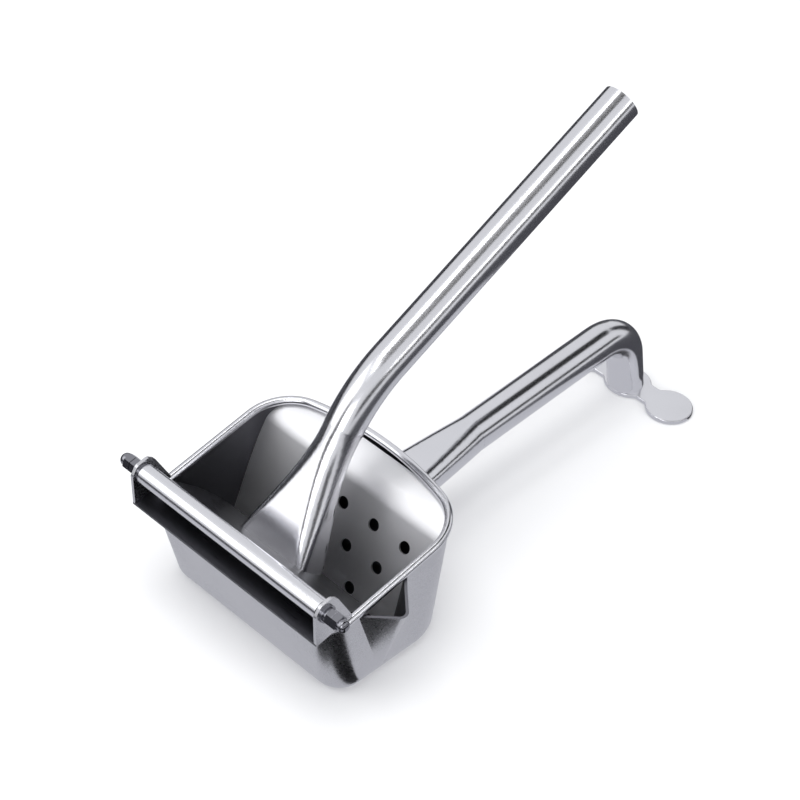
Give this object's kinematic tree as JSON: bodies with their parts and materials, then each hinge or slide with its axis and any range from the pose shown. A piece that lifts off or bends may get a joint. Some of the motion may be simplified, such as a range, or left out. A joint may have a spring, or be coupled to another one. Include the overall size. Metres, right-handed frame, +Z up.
{
  "type": "hinged hand press for citrus and potato",
  "caption": "Stainless hand press: D-shaped bowl with side spout, perforated strainer plate, hinged press flap on a long tube handle, lower handle with a foot.",
  "frame": {"origin": "middle of the bowl's flat base, on the table", "axes": "+X from the hinge towards the handle ends, +Y towards the left end of the hinge seen from the hinge side, +Z up"},
  "size_m": [0.2995, 0.148, 0.2026],
  "materials": {
    "polished": "mirror polished 304 stainless steel",
    "satin": "satin 304 stainless steel",
    "fastener": "bright A2 stainless fasteners"
  },
  "bodies": {
    "frame": {"outer_bowl": "satin", "rim_bead": "polished", "strainer_plate": "satin", "hinge_bracket": "satin", "pivot_rod": "fastener", "lower_handle": "polished", "foot_plate": "polished", "spacer_ring_left": "fastener", "washer_left": "fastener", "spring_washer_left": "fastener", "hex_nut_left": "fastener", "cap_nut_left": "fastener", "spacer_ring_right": "fastener", "washer_right": "fastener", "spring_washer_right": "fastener", "hex_nut_right": "fastener", "cap_nut_right": "fastener"},
    "lever": {"pivot_sleeve": "polished", "press_flap": "satin", "upper_handle": "polished"}
  },
  "joints": [
    {"name": "press_hinge", "type": "hinge", "parent": "frame", "child": "lever", "pos_m": [-0.0527, 0, 0.0685], "axis": [0, 1, 0], "range_deg": [-80, 17]}
  ]
}
